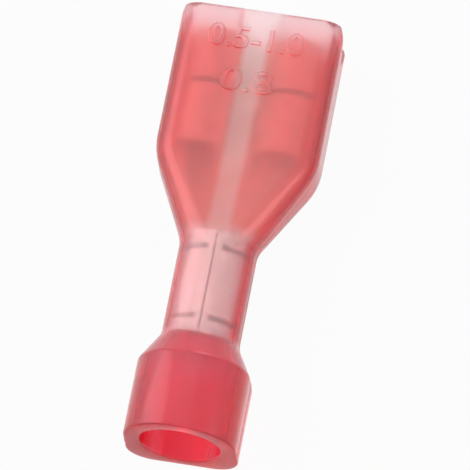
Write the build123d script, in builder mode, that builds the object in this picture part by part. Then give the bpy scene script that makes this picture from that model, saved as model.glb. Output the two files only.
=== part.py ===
from build123d import *

import os

# Fully insulated female spade terminal: a moulded nylon housing over a rolled brass contact.
# Sizes are in millimetres. The terminal lies on its flat back on the XY plane, with its axis along Y:
# the mouth for the tab faces +Y and the bell for the wire faces -Y.

# Contact: flat receptacle that takes the tab
stock = 0.4
receptacle_width = 5.8
receptacle_height = 2.2
receptacle_length = 5.5
receptacle_setback = 0.85
roll_radius = 1.0
corner_bend = 0.65
lip_length = 0.15
slit_width = 0.28
slit_setback = 2.45
slit_floor = 0.9
dimple_setback = 3.2
dimple_radius = 0.5
dimple_crown = 0.2
dimple_rise = 0.18

# Contact: trough and crimp barrel
trough_wall = 1.1
barrel_diameter = 2.8
barrel_lead = 0.2
barrel_overrun = 0.05
barrel_bevel = 0.12
seam_gap = 0.07
ring_width = 0.26
ring_depth = 0.12
ring_setback = 0.78
ring_stop = 0.3

# Housing: play round the contact, and walls
side_play = 0.29
floor_play = 0.08
head_room = 0.22
barrel_clearance = 0.04
end_clearance = 0.05
throat_margin = 0.1
mouth_wall = 0.5
neck_wall = 0.31
bell_wall = 0.72
bell_back_wall = 0.6

# Housing: lengths along the axis
mouth_margin = 0.7
taper_length = 4.05
neck_length = 4.65
shoulder_length = 1.35
bell_length = 3.5

# Housing: forms
mouth_corner = 1.0
notch_width = 2.3
notch_depth = 1.35
notch_root = 0.2
groove_width = 1.85
groove_depth = 0.25
bend_reach = 0.75
waist_reach = 0.4
shoulder_reach = 0.25
round_flat = 0.3
bell_corner = 1.2
bell_bore = 3.6
throat_length = 0.2
funnel_overlap = 0.2
rim_bevel = 0.1

# A piece of an outline that bows out by less than this is drawn straight
straight_within = 0.0005

# Sizes that follow
mouth_width = receptacle_width + 2 * (side_play + mouth_wall)
mouth_height = receptacle_height + floor_play + head_room + 2 * mouth_wall
barrel_radius = barrel_diameter / 2
neck_bore_radius = barrel_radius + barrel_clearance / 2
neck_radius = neck_bore_radius + neck_wall
bell_radius = bell_bore / 2 + bell_wall
axis_height = bell_bore / 2 + bell_back_wall
base_height = mouth_wall + floor_play
throat_radius = barrel_radius - stock + throat_margin

# Stations along the axis, measured from the mouth's rim
receptacle_end = receptacle_setback + receptacle_length
mouth_length = receptacle_end + mouth_margin
neck_start = mouth_length + taper_length
neck_end = neck_start + neck_length
bell_start = neck_end + shoulder_length
total_length = bell_start + bell_length
barrel_start = neck_start - barrel_lead
barrel_end = neck_end + barrel_overrun
throat_start = barrel_end + end_clearance
throat_end = throat_start + throat_length
funnel_end = bell_start + funnel_overlap
wire_axis = Axis((0, 0, axis_height), (0, 1, 0))


def station(distance):
    """Plane across the axis at a distance from the mouth's rim, facing the bell."""
    return Plane.XZ.offset(distance - total_length / 2)


def line_piece(start, end):
    """Straight piece of an outline, as its start, middle and end points."""
    return [start, (start + end) / 2, end]


def arc_piece(center, radius, first, last):
    """Curved piece of an outline, as its start, middle and end points."""
    angles = (first, (first + last) / 2, last)
    return [center + Vector(radius, 0).rotate(Axis.Z, angle) for angle in angles]


def along_axis(radius, distance):
    """Point at a radius from the axis and a distance from the mouth's rim, seen from the front."""
    return (radius, total_length / 2 - distance)


def rounded_pieces(half_width, low, high, low_corner, high_corner):
    """Rounded rectangle from its right side round to its lower right corner, in eight pieces."""
    high_center = Vector(half_width - high_corner, high - high_corner)
    low_center = Vector(half_width - low_corner, low + low_corner)
    corners = [
        arc_piece(high_center, high_corner, 0, 90),
        arc_piece(Vector(-high_center.X, high_center.Y), high_corner, 90, 180),
        arc_piece(Vector(-low_center.X, low_center.Y), low_corner, 180, 270),
        arc_piece(low_center, low_corner, 270, 360),
    ]
    pieces = []
    for before, corner in zip([corners[-1], *corners[:-1]], corners):
        pieces += [line_piece(before[2], corner[0]), corner]
    return pieces


def mouth_pieces(inset):
    """Section of the mouth, drawn in by inset from the outside."""
    corner = mouth_corner - inset
    return rounded_pieces(mouth_width / 2 - inset, inset, mouth_height - inset, corner, corner)


def round_pieces(radius):
    """Round section about the axis, with a narrow flat on each side."""
    corner = radius - round_flat / 2
    return rounded_pieces(radius, axis_height - radius, axis_height + radius, corner, corner)


def bell_pieces():
    """Section of the bell: round in front and square at the flat back."""
    corner = bell_radius - round_flat / 2
    return rounded_pieces(bell_radius, 0, axis_height + bell_radius, bell_corner, corner)


def blended(share, start_pieces, end_pieces):
    """Outline that lies a share of the way from one outline to another."""
    return [
        [a + (b - a) * share for a, b in zip(first, last)]
        for first, last in zip(start_pieces, end_pieces)
    ]


def outline_face(distance, pieces):
    """Face within a closed outline, across the axis."""
    with BuildSketch(station(distance)) as section:
        with BuildLine():
            for start, middle, end in pieces:
                if ((start + end) / 2 - middle).length < straight_within:
                    Line(start, end)
                else:
                    ThreePointArc(start, middle, end)
        make_face()
    return section.sketch


def eased(distance, reach):
    """Length past a corner, rounded off within reach of it on both sides."""
    if abs(distance) < reach:
        return (distance + reach) ** 2 / (4 * reach)
    return max(distance, 0)


def taper_faces(start, end, start_reach, end_reach, start_pieces, end_pieces):
    """Sections of a taper between two stations, with both of its corners rounded off."""
    faces = []
    for corner, reach in ((start, start_reach), (end, end_reach)):
        for step in (-1, -0.5, 0, 0.5, 1):
            distance = corner + step * reach
            gone = eased(distance - start, start_reach) - eased(distance - end, end_reach)
            pieces = blended(gone / (end - start), start_pieces, end_pieces)
            faces.append(outline_face(distance, pieces))
    return faces


def strip_face(distance, outer, inner):
    """Section of bent strip between its outer and inner lines."""
    back = [piece[::-1] for piece in inner[::-1]]
    first_end = line_piece(outer[-1][2], back[0][0])
    last_end = line_piece(back[-1][2], outer[0][0])
    return outline_face(distance, [*outer, first_end, *back, last_end])


def rolled_pieces(inset):
    """Line of the receptacle at a depth in the strip: flat base, with both edges rolled over."""
    bend_center = Vector(receptacle_width / 2 - corner_bend, base_height + corner_bend)
    roll_center = Vector(
        receptacle_width / 2 - roll_radius, base_height + receptacle_height - roll_radius
    )
    bend = arc_piece(bend_center, corner_bend - inset, 270, 360)
    roll = arc_piece(roll_center, roll_radius - inset, 0, 180)
    right = [
        line_piece(Vector(0, base_height + inset), bend[0]),
        bend,
        line_piece(bend[2], roll[0]),
        roll,
        line_piece(roll[2], roll[2] - Vector(0, lip_length)),
    ]
    left = [[Vector(-point.X, point.Y) for point in piece[::-1]] for piece in right[::-1]]
    return [*left, *right]


def channel_pieces(half_width, low, top, corner):
    """Open channel with rounded corners: left wall, base and right wall."""
    closed = rounded_pieces(half_width, low, top + corner, corner, corner)
    return closed[4:] + closed[:1]


def channel_face(distance, half_width, low, top, corner):
    """Section of strip bent to a channel."""
    return strip_face(
        distance,
        channel_pieces(half_width, low, top, corner),
        channel_pieces(half_width - stock, low + stock, top, corner - stock),
    )


with BuildPart() as housing:
    # Outside: mouth and taper, neck, shoulder and bell
    outer_mouth = mouth_pieces(0)
    outer_neck = round_pieces(neck_radius)
    outer_bell = bell_pieces()
    mouth_run = mouth_length - bend_reach
    neck_run = neck_length - waist_reach - shoulder_reach
    bell_run = bell_length - shoulder_reach
    extrude(outline_face(0, outer_mouth), amount=mouth_run)
    loft(taper_faces(mouth_length, neck_start, bend_reach, waist_reach, outer_mouth, outer_neck))
    extrude(outline_face(neck_start + waist_reach, outer_neck), amount=neck_run)
    loft(
        taper_faces(neck_end, bell_start, shoulder_reach, shoulder_reach, outer_neck, outer_bell)
    )
    extrude(outline_face(bell_start + shoulder_reach, outer_bell), amount=bell_run)
    chamfer(housing.faces().sort_by(Axis.Y)[-1].edges(), rim_bevel)
    chamfer(housing.faces().sort_by(Axis.Y)[0].edges(), rim_bevel)

    # Inside: room for the receptacle and the trough, narrowing to the barrel
    inner_mouth = mouth_pieces(mouth_wall)
    inner_neck = round_pieces(barrel_radius)
    extrude(outline_face(0, inner_mouth), amount=mouth_length, mode=Mode.SUBTRACT)
    loft(
        [outline_face(mouth_length, inner_mouth), outline_face(neck_start, inner_neck)],
        ruled=True,
        mode=Mode.SUBTRACT,
    )

    # Inside: bore for the barrel, stop and funnel behind it, and bore of the bell
    with BuildSketch(Plane.XY.offset(axis_height)):
        with BuildLine():
            Polyline(
                along_axis(0, barrel_start - end_clearance),
                along_axis(neck_bore_radius, barrel_start - end_clearance),
                along_axis(neck_bore_radius, throat_start),
                along_axis(throat_radius, throat_start),
                along_axis(throat_radius, throat_end),
                along_axis(bell_bore / 2, funnel_end),
                along_axis(bell_bore / 2, total_length - rim_bevel),
                along_axis(bell_bore / 2 + rim_bevel, total_length),
                along_axis(0, total_length),
                close=True,
            )
        make_face()
    revolve(axis=wire_axis, mode=Mode.SUBTRACT)

    # Notch in each narrow side of the mouth
    with BuildSketch(Plane.YZ):
        with BuildLine():
            rim = total_length / 2
            middle_height = mouth_height / 2
            Polyline(
                (rim + rim_bevel, middle_height + notch_width / 2),
                (rim, middle_height + notch_width / 2),
                (rim - notch_depth, middle_height),
                (rim, middle_height - notch_width / 2),
                (rim + rim_bevel, middle_height - notch_width / 2),
                close=True,
            )
        make_face()
        fillet(vertices().sort_by(Axis.X)[0], notch_root)
    extrude(amount=mouth_width, both=True, mode=Mode.SUBTRACT)

    # Shallow groove along the middle of the front wall, inside, which runs out in the taper
    with BuildSketch(station(0)):
        with Locations((0, mouth_height - mouth_wall)):
            Rectangle(groove_width, 2 * groove_depth)
    extrude(amount=neck_start, mode=Mode.SUBTRACT)

with BuildPart() as contact:
    # Receptacle: flat base with both edges rolled over into springs
    rolled_face = strip_face(receptacle_setback, rolled_pieces(0), rolled_pieces(stock))
    extrude(rolled_face, amount=receptacle_length)

    # Slit across each roll
    with BuildSketch(station(receptacle_setback + slit_setback)):
        with Locations((0, base_height + slit_floor)):
            Rectangle(receptacle_width, receptacle_height, align=(Align.CENTER, Align.MIN))
    extrude(amount=slit_width, mode=Mode.SUBTRACT)

    # Detent dimple pressed up out of the base
    dimple_station = station(receptacle_setback + dimple_setback)
    dimple_axis = Axis(dimple_station.origin, (0, 0, 1))
    for foot, mode in ((base_height + stock, Mode.ADD), (base_height, Mode.SUBTRACT)):
        with BuildSketch(dimple_station):
            with BuildLine():
                Polyline(
                    (0, foot),
                    (dimple_radius, foot),
                    (dimple_crown, foot + dimple_rise),
                    (0, foot + dimple_rise),
                    close=True,
                )
            make_face()
        revolve(axis=dimple_axis, mode=mode)

    # Trough from the receptacle to the barrel
    trough_top = base_height + trough_wall
    barrel_low = axis_height - barrel_radius
    wide_end = channel_face(
        receptacle_end, receptacle_width / 2, base_height, trough_top, corner_bend
    )
    narrow_end = channel_face(
        barrel_start, barrel_radius, barrel_low, axis_height, barrel_radius - round_flat / 2
    )
    loft([wide_end, narrow_end], ruled=True)

    # Barrel rolled into a tube, with an open butt seam in front
    with BuildSketch(station(barrel_start)):
        with Locations((0, axis_height)):
            Circle(barrel_radius)
            Circle(barrel_radius - stock, mode=Mode.SUBTRACT)
            Rectangle(
                seam_gap, barrel_diameter, align=(Align.CENTER, Align.MIN), mode=Mode.SUBTRACT
            )
    extrude(amount=barrel_end - barrel_start)
    wire_end = contact.faces().sort_by(Axis.Y)[0]
    chamfer(wire_end.edges().filter_by(GeomType.CIRCLE).sort_by(SortBy.RADIUS)[0], barrel_bevel)

    # Ring grooves round the barrel, which stop short of the seam
    for setback in (ring_setback, barrel_end - barrel_start - ring_setback):
        with BuildSketch(station(barrel_start + setback - ring_width / 2)):
            with Locations((0, axis_height)):
                Circle(barrel_diameter)
                Circle(barrel_radius - ring_depth, mode=Mode.SUBTRACT)
                Rectangle(
                    2 * ring_stop,
                    barrel_diameter,
                    align=(Align.CENTER, Align.MIN),
                    mode=Mode.SUBTRACT,
                )
        extrude(amount=ring_width, mode=Mode.SUBTRACT)

os.makedirs("parts", exist_ok=True)
for piece, name in ((housing.part, "housing"), (contact.part, "contact")):
    piece.label = name
    export_step(piece, f"parts/{name}.step")
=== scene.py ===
import logging
import math
from dataclasses import dataclass
from enum import Enum, IntEnum
from typing import Any

import bmesh
import bpy
import numpy as np
from mathutils import Matrix, Vector


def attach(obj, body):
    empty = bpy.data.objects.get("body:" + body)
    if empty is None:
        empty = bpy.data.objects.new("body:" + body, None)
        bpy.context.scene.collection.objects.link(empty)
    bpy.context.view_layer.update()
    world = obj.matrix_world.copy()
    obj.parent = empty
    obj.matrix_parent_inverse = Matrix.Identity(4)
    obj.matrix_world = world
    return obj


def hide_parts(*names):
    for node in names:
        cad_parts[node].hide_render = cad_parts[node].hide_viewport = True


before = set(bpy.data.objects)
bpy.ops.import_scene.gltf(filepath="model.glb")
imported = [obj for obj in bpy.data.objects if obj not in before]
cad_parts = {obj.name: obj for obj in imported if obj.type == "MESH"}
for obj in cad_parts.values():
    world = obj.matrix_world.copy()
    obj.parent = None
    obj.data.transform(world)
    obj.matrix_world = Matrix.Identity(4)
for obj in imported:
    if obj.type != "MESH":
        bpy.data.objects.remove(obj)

MM = 0.001
BODY = "root"
Colour = tuple[float, float, float]
Place = tuple[float, float, float]
Point = tuple[float, float]
WHITE: Colour = (1.0, 1.0, 1.0)
EVEN: Place = (1.0, 1.0, 1.0)
# Numbers of the colour sockets of a Mix node, whose names it uses more than once
MIX_FIRST, MIX_SECOND, MIX_RESULT = 6, 7, 2

log = logging.getLogger("terminal")


class Value:
    """Number that varies over a surface: an output socket that takes part in sums."""

    def __init__(self, graph: "Graph", socket: bpy.types.NodeSocket) -> None:
        """Keeps the socket and the graph that it belongs to."""
        self.graph = graph
        self.socket = socket

    def _math(self, operation: str, first: Any, second: Any) -> "Value":
        """Adds one Math node.

        Args:
            operation: Name of the Math node's operation.
            first: Value or number for the first socket.
            second: Value or number for the second socket.

        Returns:
            The node's result.
        """
        node = self.graph.node("ShaderNodeMath", {"operation": operation}, {0: first, 1: second})
        return Value(self.graph, node.outputs[0])

    def __add__(self, other: Any) -> "Value":
        """Sum with a value or a number."""
        return self._math("ADD", self, other)

    def __radd__(self, other: Any) -> "Value":
        """Sum with a number on the left."""
        return self._math("ADD", other, self)

    def __sub__(self, other: Any) -> "Value":
        """Difference from a value or a number."""
        return self._math("SUBTRACT", self, other)

    def __rsub__(self, other: Any) -> "Value":
        """Difference of a number on the left."""
        return self._math("SUBTRACT", other, self)

    def __mul__(self, other: Any) -> "Value":
        """Product with a value or a number."""
        return self._math("MULTIPLY", self, other)

    def __rmul__(self, other: Any) -> "Value":
        """Product with a number on the left."""
        return self._math("MULTIPLY", other, self)

    def __or__(self, other: Any) -> "Value":
        """Larger of two values, so that masks join."""
        return self._math("MAXIMUM", self, other)

    def __and__(self, other: Any) -> "Value":
        """Smaller of two values, so that masks overlap."""
        return self._math("MINIMUM", self, other)


class Graph:
    """Node tree of one material or of the world, emptied and ready to fill."""

    def __init__(self, owner: bpy.types.ID) -> None:
        """Empties the owner's node tree.

        Args:
            owner: Material or world.
        """
        owner.use_nodes = True
        self.tree = owner.node_tree
        self.tree.nodes.clear()

    def node(self, kind: str, settings: dict[str, Any], inputs: dict[Any, Any]) -> bpy.types.Node:
        """Adds a node.

        Args:
            kind: Blender's name of the node type.
            settings: The node's own settings, set first. "stops" fills a colour ramp.
            inputs: Numbers, colours, values or sockets by the name or number of the input.

        Returns:
            The new node.
        """
        made = self.tree.nodes.new(kind)
        for name, setting in settings.items():
            if name == "stops":
                elements = made.color_ramp.elements
                while len(elements) < len(setting):
                    elements.new(1.0)
                for element, (place, colour) in zip(elements, setting):
                    element.position = place
                    element.color = (*colour, 1.0)
            else:
                setattr(made, name, setting)
        for key, given in inputs.items():
            socket = made.inputs[key]
            if isinstance(given, Value):
                self.tree.links.new(given.socket, socket)
            elif isinstance(given, bpy.types.NodeSocket):
                self.tree.links.new(given, socket)
            elif isinstance(given, tuple) and len(given) == 3 and socket.type == "RGBA":
                socket.default_value = (*given, 1.0)
            else:
                socket.default_value = given
        return made

    def value(self, node: bpy.types.Node, output: str | int = 0) -> Value:
        """One output of a node, ready for sums."""
        return Value(self, node.outputs[output])

    def noise(self, scale: float, detail: float, stretch: Place = EVEN) -> Value:
        """Adds noise that is fixed to the part.

        Args:
            scale: Waves to the millimetre.
            detail: Octaves of finer waves.
            stretch: Scale along each axis.

        Returns:
            Noise between 0 and 1.
        """
        place = self.node("ShaderNodeTexCoord", {}, {})
        spread = tuple(share * scale / MM for share in stretch)
        mapped = self.node(
            "ShaderNodeMapping", {}, {"Vector": place.outputs["Object"], "Scale": spread}
        )
        noise = self.node(
            "ShaderNodeTexNoise", {}, {"Vector": mapped.outputs[0], "Scale": 1.0, "Detail": detail}
        )
        return self.value(noise)

    def mixed(self, mask: Value, first: Any, second: Any) -> bpy.types.NodeSocket:
        """Mixes two colours.

        Args:
            mask: Share of the second colour, which the node holds between 0 and 1.
            first: Colour where the mask is 0.
            second: Colour where the mask is 1.

        Returns:
            The mixed colour.
        """
        mix = self.node(
            "ShaderNodeMix",
            {"data_type": "RGBA"},
            {"Factor": mask, MIX_FIRST: first, MIX_SECOND: second},
        )
        return mix.outputs[MIX_RESULT]

    def seen(self) -> Value:
        """Tells the rays by which the camera sees a surface from those that only light the part.

        Returns:
            Mask that is 1 for rays that come straight, mirrored or through nylon.
        """
        path = self.node("ShaderNodeLightPath", {}, {})
        straight = self.value(path, "Is Camera Ray")
        mirrored = self.value(path, "Is Glossy Ray")
        through = self.value(path, "Is Transmission Ray")
        return straight | mirrored | through


@dataclass(frozen=True)
class NylonFinish:
    """Clear red nylon as it comes from the mould: faintly frosted, redder where it is thick, and
    darkened on the bell's low back with painted shade.

    Distances from the mouth's rim, heights and widths are in millimetres. The spread of light and the
    ripple are in metres.
    """

    name: str = "red_nylon"
    rim_tint: Colour = (1.0, 0.95, 0.95)
    mouth_tint: Colour = (1.0, 0.57, 0.54)
    strip_top: Colour = (1.0, 1.0, 0.98)
    strip_tint: Colour = (1.0, 0.88, 0.84)
    neck_tint: Colour = (1.0, 1.0, 1.0)
    bell_tint: Colour = (0.92, 0.38, 0.48)
    side_tint: Colour = (1.0, 0.04, 0.08)
    # Painted shade: deep red for the bell's low back, near the floor
    painted_back_shade: Colour = (0.84, 0.08, 0.12)
    side_from: float = 0.72
    side_full: float = 0.95
    rim_until: float = 0.3
    mouth_from: float = 2.0
    strip_until: float = 4.2
    mouth_until: float = 10.5
    bell_from: float = 16.1
    back_shade_height: float = 1.2
    back_shade_fade: float = 0.4
    strip_height: float = 1.8
    strip_half: float = 0.35
    strip_fade: float = 0.3
    clear_share: float = 0.85
    spread: Colour = (1.5 * MM, 0.25 * MM, 0.3 * MM)
    glow: Colour = (1.0, 0.2, 0.25)
    gloss: float = 0.5
    gloss_frost: float = 0.2
    refraction: float = 1.53
    frost: float = 0.22
    frost_swing: float = 0.06
    inner_frost: float = 0.2
    thick_colour: Colour = (0.97, 0.05, 0.16)
    thick_density: float = 780.0
    milk_density: float = 80.0
    milk_forward: float = 0.3
    lamp_tint: Colour = (1.0, 0.99, 0.99)
    ripple: float = 0.05
    ripple_height: float = 0.02 * MM
    cloud_scale: float = 0.35
    cloud_detail: float = 2.0
    flow_scale: float = 0.9
    flow_detail: float = 1.0
    flow_stretch: Place = (1.0, 0.3, 1.0)

    def along(self, graph: Graph, upper: Colour, lower: Colour) -> bpy.types.NodeSocket:
        """Colour along the sleeve: paler where the wall is thin or open, deeper where it is thick.

        Args:
            graph: Node tree of the nylon.
            upper: Colour near the mouth's rim.
            lower: Colour on the rest of the mouth and on the taper.

        Returns:
            Colour by the distance from the mouth's rim.
        """
        length = Housing.total_length
        place = graph.node("ShaderNodeTexCoord", {}, {})
        axes = graph.node("ShaderNodeSeparateXYZ", {}, {0: place.outputs["Object"]})
        share = 0.5 - graph.value(axes, "Y") * (1 / (length * MM))
        stops = [
            (self.rim_until / length, self.rim_tint),
            (self.mouth_from / length, upper),
            (self.strip_until / length, lower),
            (self.mouth_until / length, lower),
            (Housing.neck_start / length, self.neck_tint),
            (Housing.neck_end / length, self.neck_tint),
            (self.bell_from / length, self.bell_tint),
        ]
        return graph.node("ShaderNodeValToRGB", {"stops": stops}, {0: share}).outputs[0]

    def tint(self, graph: Graph) -> bpy.types.NodeSocket:
        """Colour of the nylon: paler along the front's middle, deeper on sides and end, and darkened on
        the bell's low back with painted shade.

        Args:
            graph: Node tree of the nylon.

        Returns:
            Colour at each point of the sleeve.
        """
        place = graph.node("ShaderNodeTexCoord", {}, {})
        axes = graph.node("ShaderNodeSeparateXYZ", {}, {0: place.outputs["Object"]})
        off = graph.value(axes, "X") * (1 / MM)
        height = graph.value(axes, "Z") * (1 / MM)
        middle = 1 - ((off | 0 - off) - self.strip_half) * (1 / self.strip_fade)
        strip = middle & height - self.strip_height
        wide = self.along(graph, self.mouth_tint, self.mouth_tint)
        narrow = self.along(graph, self.strip_top, self.strip_tint)
        facing = graph.node("ShaderNodeSeparateXYZ", {}, {0: place.outputs["Normal"]})
        across, ahead = graph.value(facing, "X"), graph.value(facing, "Y")
        turned = across | 0 - across | 0 - ahead
        side = (turned - self.side_from) * (1 / (self.side_full - self.side_from))
        # Painted shade: on the bell, below this height, the nylon is mixed towards the deep red of its
        # shaded back
        low = (self.back_shade_height - height) * (1 / self.back_shade_fade)
        past_neck = Housing.total_length / 2 - self.bell_from - graph.value(axes, "Y") * (1 / MM)
        sided = graph.mixed(side, graph.mixed(strip, wide, narrow), self.side_tint)
        return graph.mixed(low & past_neck, sided, self.painted_back_shade)

    def material(self) -> bpy.types.Material:
        """Makes the nylon.

        Returns:
            Material with absorption inside, which lets lamps through to the contact.
        """
        made = bpy.data.materials.new(self.name)
        graph = Graph(made)
        cloud = graph.noise(self.cloud_scale, self.cloud_detail)
        flow = graph.noise(self.flow_scale, self.flow_detail, self.flow_stretch)
        side = graph.node("ShaderNodeNewGeometry", {}, {})
        leaving = graph.value(side, "Backfacing")
        place = graph.node("ShaderNodeTexCoord", {}, {})
        facing = graph.node("ShaderNodeSeparateXYZ", {}, {0: place.outputs["Normal"]})
        matt_end = leaving | 0 - graph.value(facing, "Y")
        bump = graph.node(
            "ShaderNodeBump",
            {},
            {"Strength": self.ripple, "Distance": self.ripple_height, "Height": flow},
        )
        body = graph.node(
            "ShaderNodeBsdfPrincipled",
            {},
            {
                "Base Color": self.tint(graph),
                "Roughness": self.frost + self.frost_swing * cloud + self.inner_frost * leaving,
                "IOR": self.refraction,
                "Transmission Weight": self.clear_share,
                "Specular Tint": self.glow,
                "Subsurface Weight": 1.0,
                "Subsurface Radius": self.spread,
                "Subsurface Scale": 1.0,
                "Coat Weight": self.gloss * (1 - matt_end),
                "Coat Roughness": self.gloss_frost,
                "Normal": bump.outputs[0],
            },
        )
        lamps = graph.node("ShaderNodeBsdfTransparent", {}, {"Color": self.lamp_tint})
        path = graph.node("ShaderNodeLightPath", {}, {})
        surface = graph.node(
            "ShaderNodeMixShader",
            {},
            {0: path.outputs["Is Shadow Ray"], 1: body.outputs[0], 2: lamps.outputs[0]},
        )
        inside = graph.node(
            "ShaderNodeVolumeAbsorption",
            {},
            {"Color": self.thick_colour, "Density": self.thick_density},
        )
        milk = graph.node(
            "ShaderNodeVolumeScatter",
            {},
            {"Color": WHITE, "Density": self.milk_density, "Anisotropy": self.milk_forward},
        )
        filled = graph.node("ShaderNodeAddShader", {}, {0: inside.outputs[0], 1: milk.outputs[0]})
        graph.node(
            "ShaderNodeOutputMaterial",
            {},
            {"Surface": surface.outputs[0], "Volume": filled.outputs[0]},
        )
        return made


@dataclass(frozen=True)
class TinFinish:
    """Satin tin plate on rolled brass strip, with faint lines along the strip and painted shade in the
    ring grooves.

    The places of the rings along Y, and their widths, are in millimetres.
    """

    name: str = "tin_plate"
    bright: Colour = (0.84, 0.83, 0.79)
    dull: Colour = (0.74, 0.72, 0.68)
    # Painted shade: dark colour for the ring grooves
    painted_groove_shade: Colour = (0.3, 0.27, 0.24)
    rings: tuple[float, ...] = (-1.38, -4.72)
    ring_half: float = 0.16
    ring_stop: float = 0.25
    roughness: float = 0.85
    roughness_swing: float = 0.1
    line_strength: float = 0.25
    line_height: float = 0.01 * MM
    line_scale: float = 9.0
    line_detail: float = 4.0
    line_stretch: Place = (1.0, 0.06, 1.0)
    line_share: float = 0.5
    cloud_scale: float = 0.6
    cloud_detail: float = 3.0

    def material(self) -> bpy.types.Material:
        """Makes the tin plate.

        Returns:
            Metal with cloudy patches and rolling lines.
        """
        made = bpy.data.materials.new(self.name)
        graph = Graph(made)
        cloud = graph.noise(self.cloud_scale, self.cloud_detail)
        lines = graph.noise(self.line_scale, self.line_detail, self.line_stretch)
        uneven = (1 - self.line_share) * cloud + self.line_share * lines
        place = graph.node("ShaderNodeTexCoord", {}, {})
        axes = graph.node("ShaderNodeSeparateXYZ", {}, {0: place.outputs["Object"]})
        along = graph.value(axes, "Y") * (1 / MM)
        # Painted shade: a mask over each ring groove, stopping short of the seam, that darkens the tin
        # there
        groove = along * 0
        for ring in self.rings:
            off = along - ring
            groove = groove | 1 - (off | 0 - off) * (1 / self.ring_half)
        across = graph.value(axes, "X") * (1 / MM)
        beside = ((across | 0 - across) - self.ring_stop) * (1 / self.ring_half)
        plate = graph.mixed(cloud, self.bright, self.dull)
        bump = graph.node(
            "ShaderNodeBump",
            {},
            {"Strength": self.line_strength, "Distance": self.line_height, "Height": lines},
        )
        metal = graph.node(
            "ShaderNodeBsdfPrincipled",
            {},
            {
                "Base Color": graph.mixed(groove & beside, plate, self.painted_groove_shade),
                "Roughness": self.roughness + self.roughness_swing * uneven,
                "Metallic": 1.0,
                "Normal": bump.outputs[0],
            },
        )
        graph.node("ShaderNodeOutputMaterial", {}, {"Surface": metal.outputs[0]})
        return made


class Stretch(IntEnum):
    """Straight stretches of a section, in order against the clock seen from the bell."""

    RIGHT = 0
    FRONT = 1
    LEFT = 2
    BACK = 3


@dataclass(frozen=True)
class Corner:
    """Centre and radius of one rounded corner of a section."""

    x: float
    z: float
    radius: float

    def at(self, turn: float) -> Point:
        """Point of the corner's arc at an angle in radians."""
        return (self.x + self.radius * math.cos(turn), self.z + self.radius * math.sin(turn))


@dataclass(frozen=True)
class Section:
    """Rounded rectangle across the axis, with its own radius for the low and the high corners."""

    half_width: float
    low: float
    high: float
    low_corner: float
    high_corner: float

    def inset(self, depth: float) -> "Section":
        """Draws the section in all round.

        Args:
            depth: How far each side moves in.

        Returns:
            The smaller section.
        """
        return Section(
            self.half_width - depth,
            self.low + depth,
            self.high - depth,
            self.low_corner - depth,
            self.high_corner - depth,
        )

    def corners(self) -> list[Corner]:
        """Works out the rounded corners.

        Returns:
            Corners from the high right one, against the clock seen from the bell.
        """
        x_high = self.half_width - self.high_corner
        x_low = self.half_width - self.low_corner
        z_high = self.high - self.high_corner
        z_low = self.low + self.low_corner
        return [
            Corner(x_high, z_high, self.high_corner),
            Corner(-x_high, z_high, self.high_corner),
            Corner(-x_low, z_low, self.low_corner),
            Corner(x_low, z_low, self.low_corner),
        ]


@dataclass(frozen=True)
class Around:
    """How many points a ring has on the pieces of its outline, and where."""

    corner_steps: int = 14
    back_steps: int = 14
    side_steps: int = 6
    front_steps: int = 5
    slope_steps: int = 6
    floor_steps: int = 8
    seam_width: float = 0.09
    seam_share_most: float = 0.3
    side_least: float = 0.01
    edge_share_most: float = 0.5
    slope_share_most: float = 0.2

    def side_shares(self, length: float) -> list[float]:
        """Places of the points along a narrow side.

        Args:
            length: The side's length in millimetres.

        Returns:
            Shares of the length from 0 up to but not including 1, with the parting line at a half.
        """
        half = min(self.seam_share_most, self.seam_width / 2 / max(length, self.side_least))
        first = np.linspace(0, 0.5 - half, self.side_steps)
        last = np.linspace(0.5 + half, 1, self.side_steps)
        return [*first, 0.5, *last[:-1]]

    def front_places(self, half: float, edge: float, slope: float) -> list[float]:
        """Places of the points across the front.

        Args:
            half: Half of the front's width.
            edge: Half of the groove's width.
            slope: How far the groove's edge slopes to each side.

        Returns:
            Values of x from the right end up to but not including the left end.
        """
        edge = min(edge, self.edge_share_most * half)
        slope = min(slope, self.slope_share_most * half)
        plain = np.linspace(half, edge + slope, self.front_steps + 1)[:-1]
        sloped = np.linspace(edge + slope, edge - slope, self.slope_steps + 1)
        floor = np.linspace(edge - slope, slope - edge, self.floor_steps + 1)[1:-1]
        right = [*plain, *sloped]
        return [*right, *floor, *(-x for x in reversed(right))][:-1]

    def back_shares(self) -> list[float]:
        """Shares of the back's width from 0 up to but not including 1."""
        return list(np.linspace(0, 1, self.back_steps + 1)[:-1])

    def front_start(self) -> int:
        """Number of the first point of the front."""
        return 2 * self.side_steps + self.corner_steps

    def front_count(self) -> int:
        """Number of points across the front."""
        return 2 * (self.front_steps + self.slope_steps) + self.floor_steps

    def seams(self) -> tuple[int, int]:
        """Numbers of the points on the mould's parting line, right and left."""
        left_start = self.front_start() + self.front_count() + self.corner_steps
        return self.side_steps, left_start + self.side_steps


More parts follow.
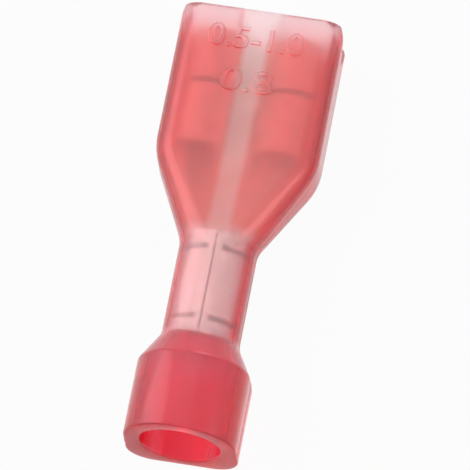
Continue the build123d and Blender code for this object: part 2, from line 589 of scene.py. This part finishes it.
@dataclass
class Housing:
    """Moulded nylon sleeve: mouth, taper, neck, shoulder and bell, hollow right through.

    Sizes are in millimetres, and stations are measured from the mouth's rim.
    """

    total_length: float = 20.6
    mouth_width: float = 7.38
    mouth_height: float = 3.5
    mouth_wall: float = 0.5
    mouth_corner: float = 1.0
    mouth_length: float = 7.05
    bend_reach: float = 0.75
    neck_start: float = 11.1
    waist_reach: float = 0.4
    neck_radius: float = 1.73
    neck_end: float = 15.75
    shoulder_reach: float = 0.25
    ridge_reach: float = 0.08
    bell_start: float = 17.1
    bell_radius: float = 2.52
    bell_corner: float = 1.2
    bell_bore: float = 1.8
    axis_height: float = 2.4
    round_flat: float = 0.3
    barrel_radius: float = 1.4
    barrel_bore: float = 1.42
    bore_start: float = 10.85
    throat_start: float = 15.85
    throat_end: float = 16.05
    throat_radius: float = 1.1
    funnel_end: float = 17.3
    rim: float = 0.1
    lip: float = 0.04
    notch_width: float = 2.3
    notch_depth: float = 1.35
    notch_root: float = 0.14
    notch_reach: float = 2.4
    groove_width: float = 1.85
    groove_depth: float = 0.25
    groove_slope: float = 0.3
    seam_rise: float = 0.02
    around: Around = Around()
    rim_steps: int = 4
    notch_start: float = 0.2
    notch_steps: int = 9
    mouth_rings: tuple[float, ...] = (3.4, 4.6, 5.6)
    bell_rings: tuple[float, ...] = (18.4, 19.5)
    bore_steps: int = 7
    room_steps: int = 39
    taper_steps: int = 56
    shoulder_steps: int = 30
    crease_deg: float = 32.0

    def mouth(self) -> Section:
        """Outside of the mouth."""
        corner = self.mouth_corner
        return Section(self.mouth_width / 2, 0.0, self.mouth_height, corner, corner)

    def round(self, radius: float) -> Section:
        """Round section about the axis, with a narrow flat on each side.

        Args:
            radius: Distance of the flats from the axis.

        Returns:
            The section.
        """
        corner = radius - self.round_flat / 2
        axis = self.axis_height
        return Section(radius, axis - radius, axis + radius, corner, corner)

    def bell(self) -> Section:
        """Outside of the bell: round in front and square at the flat back.

        Returns:
            The section.
        """
        corner = self.bell_radius - self.round_flat / 2
        top = self.axis_height + self.bell_radius
        return Section(self.bell_radius, 0.0, top, self.bell_corner, corner)

    def outline(self, section: Section) -> np.ndarray:
        """Points of a section.

        Args:
            section: The section.

        Returns:
            Array of x and z, one row for each point of a ring.
        """
        points: list[Point] = []
        corners = section.corners()
        for stretch, corner in zip(Stretch, corners):
            turn = stretch * math.pi / 2
            start, end = np.array(corners[stretch - 1].at(turn)), np.array(corner.at(turn))
            if stretch is Stretch.FRONT:
                points += [(x, section.high) for x in self.front(start[0])]
            else:
                length = math.dist(start, end)
                back = stretch is Stretch.BACK
                shares = self.around.back_shares() if back else self.around.side_shares(length)
                points += [tuple(start + (end - start) * share) for share in shares]
            for step in range(self.around.corner_steps):
                points.append(corner.at(turn + math.pi / 2 * step / self.around.corner_steps))
        return np.array(points)

    def front(self, half: float) -> list[float]:
        """Places of the points across a front of the given half width."""
        return self.around.front_places(half, self.groove_width / 2, self.groove_slope)

    def grooved(self, outline: np.ndarray) -> np.ndarray:
        """Cuts the straight groove into the front of an inner outline, as far as it still stands out.

        Args:
            outline: Array of x and z.

        Returns:
            Array of x and z with the groove.
        """
        cut = outline.copy()
        start = self.around.front_start()
        across = slice(start, start + self.around.front_count())
        half, ceiling = outline[start]
        x = np.array(self.front(half))
        depth = (self.groove_width / 2 + self.groove_slope - np.abs(x)) / (2 * self.groove_slope)
        depth = np.clip(depth, 0, 1)
        smooth = depth**2 * (3 - 2 * depth)
        top = self.mouth_height - self.mouth_wall + self.groove_depth * smooth
        cut[across] = np.column_stack([x, np.maximum(ceiling, top)])
        return cut

    def placed(self, outline: np.ndarray, distance: float) -> np.ndarray:
        """Ring of points in space.

        Args:
            outline: Array of x and z.
            distance: Distance from the mouth's rim along the axis.

        Returns:
            Array of x, y and z in millimetres, with the notches' shape near the rim.
        """
        along = np.full(len(outline), distance)
        if distance < self.notch_reach:
            off = np.abs(outline[:, 1] - self.mouth_height / 2)
            rounded = np.hypot(off, self.notch_root) - self.notch_root
            bottom = self.notch_depth * np.clip(1 - 2 * rounded / self.notch_width, 0, 1)
            along = bottom + distance * (1 - bottom / self.notch_reach)
        y = self.total_length / 2 - along
        return np.column_stack([outline[:, 0], y, outline[:, 1]])

    def with_seam(self, outline: np.ndarray, share: float) -> np.ndarray:
        """Raises the parting line on both sides of an outline.

        Args:
            outline: Array of x and z.
            share: Share of the parting line's height.

        Returns:
            Array of x and z with the line.
        """
        raised = outline.copy()
        for number, way in zip(self.around.seams(), (1, -1)):
            raised[number, 0] += way * share * self.seam_rise
        return raised

    @staticmethod
    def eased(distance: float, reach: float) -> float:
        """Length past a corner, rounded off within reach of it on both sides.

        Args:
            distance: Distance past the corner, below 0 before it.
            reach: How far the corner is rounded off on each side.

        Returns:
            The eased length.
        """
        if abs(distance) < reach:
            return (distance + reach) ** 2 / (4 * reach)
        return max(distance, 0.0)

    def taper(
        self, ends: Point, reaches: Point, sections: tuple[Section, Section], steps: int, seams: Point
    ) -> list[np.ndarray]:
        """Rings of a taper with both of its corners rounded off.

        Args:
            ends: Distances of the two corners from the rim.
            reaches: How far each corner is rounded off along the axis.
            sections: Sections before and after.
            steps: Number of steps.
            seams: Share of the parting line's height before and after.

        Returns:
            Rings in order from the mouth.
        """
        first, last = (self.outline(section) for section in sections)
        rings = []
        for distance in np.linspace(ends[0] - reaches[0], ends[1] + reaches[1], steps + 1):
            gone = self.eased(distance - ends[0], reaches[0])
            gone -= self.eased(distance - ends[1], reaches[1])
            share = gone / (ends[1] - ends[0])
            outline = first + (last - first) * share
            seam = seams[0] + (seams[1] - seams[0]) * share
            rings.append(self.placed(self.with_seam(outline, seam), distance))
        return rings

    def rim_rings(self, section: Section, start: float, way: int, seam: float) -> list[np.ndarray]:
        """Rings of a rounded rim, from the end face to the full section.

        Args:
            section: Section of the wall.
            start: Distance of the end face.
            way: 1 where the wall lies past the end face, -1 where it lies before it.
            seam: Share of the parting line's height.

        Returns:
            Rings in order away from the end face.
        """
        rings = []
        for turn in np.linspace(0, math.pi / 2, self.rim_steps + 1):
            inset = self.rim * (1 - math.sin(turn))
            distance = start + way * self.rim * (1 - math.cos(turn))
            outline = self.with_seam(self.outline(section.inset(inset)), seam * math.sin(turn))
            rings.append(self.placed(outline, distance))
        return rings

    def notch_rings(self) -> list[float]:
        """Distances of the rings that the notches bend, from the rim on."""
        return list(np.linspace(self.notch_start, self.notch_reach, self.notch_steps + 1))

    def outside(self) -> list[np.ndarray]:
        """Works out the outside.

        Returns:
            Rings from the mouth's rim to the bell's rim.
        """
        mouth, neck, bell = self.mouth(), self.round(self.neck_radius), self.bell()
        rings = self.rim_rings(mouth, 0.0, 1, 0.0)
        straight = self.outline(mouth)
        for distance in (*self.notch_rings(), *self.mouth_rings):
            rings.append(self.placed(straight, distance))
        ends, reaches = (self.mouth_length, self.neck_start), (self.bend_reach, self.waist_reach)
        rings += self.taper(ends, reaches, (mouth, neck), self.taper_steps, (0.0, 1.0))
        ends, reaches = (self.neck_end, self.bell_start), (self.shoulder_reach, self.ridge_reach)
        rings += self.taper(ends, reaches, (neck, bell), self.shoulder_steps, (1.0, 1.0))
        rings += self.rim_rings(bell, self.total_length, -1, 1.0)[::-1]
        return rings

    def circle(self, radius: float) -> np.ndarray:
        """Circle about the axis, with its points on the same spokes as the neck's.

        Args:
            radius: The circle's radius.

        Returns:
            Array of x and z.
        """
        spokes = self.outline(self.round(self.neck_radius)) - (0.0, self.axis_height)
        spokes /= np.linalg.norm(spokes, axis=1)[:, None]
        return spokes * radius + (0.0, self.axis_height)

    def widened(self, outline: np.ndarray, radius: float) -> np.ndarray:
        """Pushes an outline out to a radius from the axis wherever it is nearer.

        Args:
            outline: Array of x and z.
            radius: Least distance from the axis.

        Returns:
            Array of x and z of the wider outline.
        """
        spokes = outline - (0.0, self.axis_height)
        reach = np.linalg.norm(spokes, axis=1)[:, None]
        return spokes * np.maximum(reach, radius) / reach + (0.0, self.axis_height)

    def room(self, distance: float, lip: float = 0.0) -> np.ndarray:
        """Outline of the room for the contact.

        Args:
            distance: Distance from the mouth's rim.
            lip: How far the outline is opened out.

        Returns:
            Array of x and z.
        """
        share = (distance - self.mouth_length) / (self.neck_start - self.mouth_length)
        wide = self.outline(self.mouth().inset(self.mouth_wall - lip))
        narrow = self.outline(self.round(self.barrel_radius))
        return self.grooved(wide + (narrow - wide) * max(share, 0.0))

    def inside(self) -> list[np.ndarray]:
        """Works out the inside.

        Returns:
            Rings from the bell's rim back to the mouth's rim.
        """
        rings = []
        for turn in np.linspace(0, math.pi / 2, self.rim_steps + 1):
            flare = self.rim * (1 - math.sin(turn))
            distance = self.total_length - self.rim * (1 - math.cos(turn))
            rings.append(self.placed(self.circle(self.bell_bore + flare), distance))
        bore, throat = self.circle(self.bell_bore), self.circle(self.throat_radius)
        barrel = self.circle(self.barrel_bore)
        for distance in (*reversed(self.bell_rings), self.funnel_end):
            rings.append(self.placed(bore, distance))
        for distance in (self.throat_end, self.throat_start):
            rings.append(self.placed(throat, distance))
        for distance in np.linspace(self.throat_start, self.neck_start, self.bore_steps + 1):
            rings.append(self.placed(barrel, distance))
        for distance in (self.neck_start, self.bore_start):
            rings.append(self.placed(self.widened(self.room(distance), self.barrel_bore), distance))
        for distance in np.linspace(self.bore_start, self.mouth_length, self.room_steps + 1):
            rings.append(self.placed(self.room(distance), distance))
        for distance in (*reversed([*self.notch_rings(), *self.mouth_rings]), self.lip):
            rings.append(self.placed(self.room(distance), distance))
        rings.append(self.placed(self.room(0.0, self.lip), 0.0))
        return rings

    def build(self) -> bpy.types.Object:
        """Builds the sleeve as one closed mesh.

        Returns:
            The new object, still in millimetres.
        """
        rings = [*self.outside(), *self.inside()]
        count = len(rings[0])
        points = np.vstack(rings)
        faces = []
        for ring in range(len(rings)):
            following = (ring + 1) % len(rings)
            for spoke in range(count):
                beside = (spoke + 1) % count
                faces.append(
                    (
                        ring * count + spoke,
                        ring * count + beside,
                        following * count + beside,
                        following * count + spoke,
                    )
                )
        mesh = bpy.data.meshes.new("nylon_housing")
        mesh.from_pydata(points.tolist(), [], faces)
        made = bpy.data.objects.new("nylon_housing", mesh)
        bpy.context.scene.collection.objects.link(made)
        return made

    def finish(self, piece: bpy.types.Object) -> None:
        """Brings the sleeve to metres and smooths its shading, with creases at its sharp edges.

        Args:
            piece: The sleeve with its numbers, in millimetres.
        """
        piece.data.transform(Matrix.Scale(MM, 4))
        work = bmesh.new()
        work.from_mesh(piece.data)
        bmesh.ops.recalc_face_normals(work, faces=work.faces)
        for face in work.faces:
            face.smooth = True
        for edge in work.edges:
            edge.smooth = edge.calc_face_angle(0.0) < math.radians(self.crease_deg)
        work.to_mesh(piece.data)
        work.free()

    def dress(self, piece: bpy.types.Object, finish: NylonFinish) -> None:
        """Gives the sleeve its finish and its place in the frame.

        Args:
            piece: The sleeve in metres.
            finish: The nylon.
        """
        piece.data.materials.clear()
        piece.data.materials.append(finish.material())
        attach(piece, BODY)
        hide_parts("housing")


@dataclass(frozen=True)
class NumberRow:
    """One row of plain raised numbers on the front of the mouth."""

    text: str
    x: float
    y: float
    width: float
    height: float


@dataclass
class RaisedNumbers:
    """Plain size numbers in millimetres, raised on the front of the mouth."""

    rows: tuple[NumberRow, ...] = (
        NumberRow("0.5-1.0", x=-0.03, y=8.85, width=4.35, height=1.1),
        NumberRow("0.8", x=-0.1, y=6.8, width=2.4, height=1.15),
    )
    front: float = Housing.mouth_height
    sunk: float = 0.05
    rise: float = 0.13
    bevel: float = 0.07
    thinned: float = 0.04
    bevel_steps: int = 3
    curve_steps: int = 6
    weld: float = 0.0005

    def build(self, number: int, row: NumberRow) -> bpy.types.Object:
        """Builds a row as a closed mesh that reaches a little into the wall.

        Args:
            number: The row's number.
            row: The row.

        Returns:
            The row, still apart from the sleeve.
        """
        curve = bpy.data.curves.new(f"numbers_{number}", "FONT")
        curve.body = row.text
        curve.size = row.height
        curve.extrude = (self.rise + self.sunk) / 2 - self.bevel
        curve.bevel_depth = self.bevel
        curve.bevel_resolution = self.bevel_steps
        curve.offset = -self.thinned
        curve.resolution_u = self.curve_steps
        source = bpy.data.objects.new(f"numbers_{number}", curve)
        bpy.context.scene.collection.objects.link(source)
        bpy.context.view_layer.update()
        mesh = bpy.data.meshes.new_from_object(source)
        bpy.data.objects.remove(source)
        work = bmesh.new()
        work.from_mesh(mesh)
        bmesh.ops.remove_doubles(work, verts=work.verts, dist=self.weld)
        places = np.array([vert.co for vert in work.verts])
        low, high = places.min(axis=0), places.max(axis=0)
        middle = (low + high) / 2
        stretch = (row.width / (high - low)[0], row.height / (high - low)[1], 1.0)
        target = (row.x, row.y, self.front + (self.rise - self.sunk) / 2)
        for vert in work.verts:
            vert.co = Vector((np.array(vert.co) - middle) * stretch + target)
        bmesh.ops.recalc_face_normals(work, faces=work.faces)
        work.to_mesh(mesh)
        work.free()
        piece = bpy.data.objects.new(f"number_row_{number}", mesh)
        bpy.context.scene.collection.objects.link(piece)
        return piece

    def join(self, sleeve: bpy.types.Object) -> None:
        """Joins the rows to the sleeve, so that they are one closed body with it.

        Args:
            sleeve: The sleeve, still in millimetres.
        """
        for number, row in enumerate(self.rows):
            piece = self.build(number, row)
            union = sleeve.modifiers.new("union", "BOOLEAN")
            union.operation = "UNION"
            union.solver = "EXACT"
            union.object = piece
            bpy.context.view_layer.update()
            shape = sleeve.evaluated_get(bpy.context.evaluated_depsgraph_get())
            joined = bpy.data.meshes.new_from_object(shape)
            sleeve.modifiers.clear()
            sleeve.data = joined
            bpy.data.objects.remove(piece)


@dataclass
class Contact:
    """Rolled brass contact, shown as its CAD solid."""

    node: str = "contact"

    def dress(self, finish: TinFinish) -> bpy.types.Object:
        """Plates the contact.

        Args:
            finish: The plate.

        Returns:
            The CAD node's object.
        """
        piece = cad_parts[self.node]
        piece.data.materials.clear()
        piece.data.materials.append(finish.material())
        return piece


class LampRole(Enum):
    """What a lamp is for."""

    KEY = "key"
    FILL = "fill"
    PANEL = "panel"
    EDGE = "edge"
    BACK = "back"


@dataclass(frozen=True)
class Lamp:
    """One soft area lamp that faces the part, in metres and watts."""

    role: LampRole
    place: Place
    size: float
    power: float

    def light(self) -> bpy.types.Object:
        """Sets up the lamp and turns it to the part.

        Returns:
            The lamp.
        """
        data = bpy.data.lights.new(f"{self.role.value}_lamp", "AREA")
        data.shape = "DISK"
        data.size = self.size
        data.energy = self.power
        made = bpy.data.objects.new(data.name, data)
        made.location = self.place
        made.rotation_mode = "QUATERNION"
        made.rotation_quaternion = (-Vector(self.place)).to_track_quat("-Z", "Y")
        bpy.context.scene.collection.objects.link(made)
        return made


@dataclass
class Studio:
    """Plain pale floor, soft lamps and a white world."""

    floor_side: float = 2.0
    floor_gap: float = 0.02 * MM
    floor_colour: Colour = (0.75, 0.75, 0.75)
    floor_white: float = 0.95
    ambient: float = 0.25
    lamps: tuple[Lamp, ...] = (
        Lamp(LampRole.KEY, place=(-0.2, 0.0, 0.14), size=0.25, power=0.31),
        Lamp(LampRole.FILL, place=(0.05, -0.09, 0.26), size=0.2, power=0.05),
        Lamp(LampRole.PANEL, place=(-0.034, 0.101, 0.259), size=0.18, power=0.04),
        Lamp(LampRole.EDGE, place=(0.2, -0.02, 0.1), size=0.1, power=0.06),
        Lamp(LampRole.BACK, place=(0.03, 0.22, 0.11), size=0.08, power=0.07),
    )

    def floor_material(self) -> bpy.types.Material:
        """Makes a floor that is white to the eye and still takes the part's shadow.

        Returns:
            Material of the floor.
        """
        made = bpy.data.materials.new("studio_floor")
        graph = Graph(made)
        paper = graph.node("ShaderNodeBsdfDiffuse", {}, {"Color": self.floor_colour})
        seen = graph.seen()
        white = graph.node("ShaderNodeEmission", {}, {"Color": WHITE, "Strength": 1.0})
        mix = graph.node(
            "ShaderNodeMixShader",
            {},
            {0: self.floor_white * seen, 1: paper.outputs[0], 2: white.outputs[0]},
        )
        graph.node("ShaderNodeOutputMaterial", {}, {"Surface": mix.outputs[0]})
        return made

    def build(self) -> bpy.types.Object:
        """Lays the floor, lights the lamps and fills the world.

        Returns:
            The floor.
        """
        half = self.floor_side / 2
        mesh = bpy.data.meshes.new("studio_floor")
        corners = [(-half, -half), (half, -half), (half, half), (-half, half)]
        mesh.from_pydata([(x, y, -self.floor_gap) for x, y in corners], [], [(0, 1, 2, 3)])
        mesh.materials.append(self.floor_material())
        floor = bpy.data.objects.new("studio_floor", mesh)
        bpy.context.scene.collection.objects.link(floor)
        for lamp in self.lamps:
            lamp.light()
        world = bpy.data.worlds.new("studio_world")
        bpy.context.scene.world = world
        graph = Graph(world)
        shown = graph.seen() | self.ambient
        sky = graph.node("ShaderNodeBackground", {}, {"Color": WHITE, "Strength": shown})
        graph.node("ShaderNodeOutputWorld", {}, {"Surface": sky.outputs[0]})
        return floor


@dataclass
class PhotoCamera:
    """Camera that looks down on the part as the photograph does."""

    azimuth: float = 18.701
    elevation: float = 67.517
    roll: float = -8.843
    distance: float = 0.28
    frame_width: float = 20.8253 * MM
    aim: Place = (0.0, 0.0, 2.0 * MM)
    sensor_width: float = 36.0
    nearest: float = 0.01
    right_by: float = 0.5253 * MM
    up_by: float = -0.0533 * MM

    def build(self) -> bpy.types.Object:
        """Sets up the camera and makes it the scene's own.

        Returns:
            The camera.
        """
        turn, rise, roll = (math.radians(a) for a in (self.azimuth, self.elevation, self.roll))
        level = Vector((math.cos(turn), math.sin(turn), 0.0))
        ahead = Vector(
            (
                -math.sin(turn) * math.cos(rise),
                math.cos(turn) * math.cos(rise),
                -math.sin(rise),
            )
        )
        upright = level.cross(ahead)
        right = level * math.cos(roll) + upright * math.sin(roll)
        up = upright * math.cos(roll) - level * math.sin(roll)
        target = Vector(self.aim) + right * self.right_by + up * self.up_by
        data = bpy.data.cameras.new("photo_camera")
        data.sensor_width = self.sensor_width
        data.lens = data.sensor_width * self.distance / self.frame_width
        data.clip_start = self.nearest
        made = bpy.data.objects.new("photo_camera", data)
        axes = Matrix((right, up, -ahead)).transposed().to_4x4()
        made.matrix_world = Matrix.Translation(target - ahead * self.distance) @ axes
        bpy.context.scene.collection.objects.link(made)
        bpy.context.scene.camera = made
        return made


def main() -> None:
    """Builds the part's looks in order."""
    logging.basicConfig(level=logging.INFO, format="%(message)s")
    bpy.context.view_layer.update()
    bpy.context.scene.view_settings.view_transform = "Standard"
    housing = Housing()
    sleeve = housing.build()
    log.info("sleeve: %d faces", len(sleeve.data.polygons))
    RaisedNumbers().join(sleeve)
    housing.finish(sleeve)
    housing.dress(sleeve, NylonFinish())
    log.info("sleeve with numbers: %d faces", len(sleeve.data.polygons))
    contact = Contact().dress(TinFinish())
    log.info("contact: %d faces", len(contact.data.polygons))
    Studio().build()
    PhotoCamera().build()


if __name__ == "__main__":
    main()
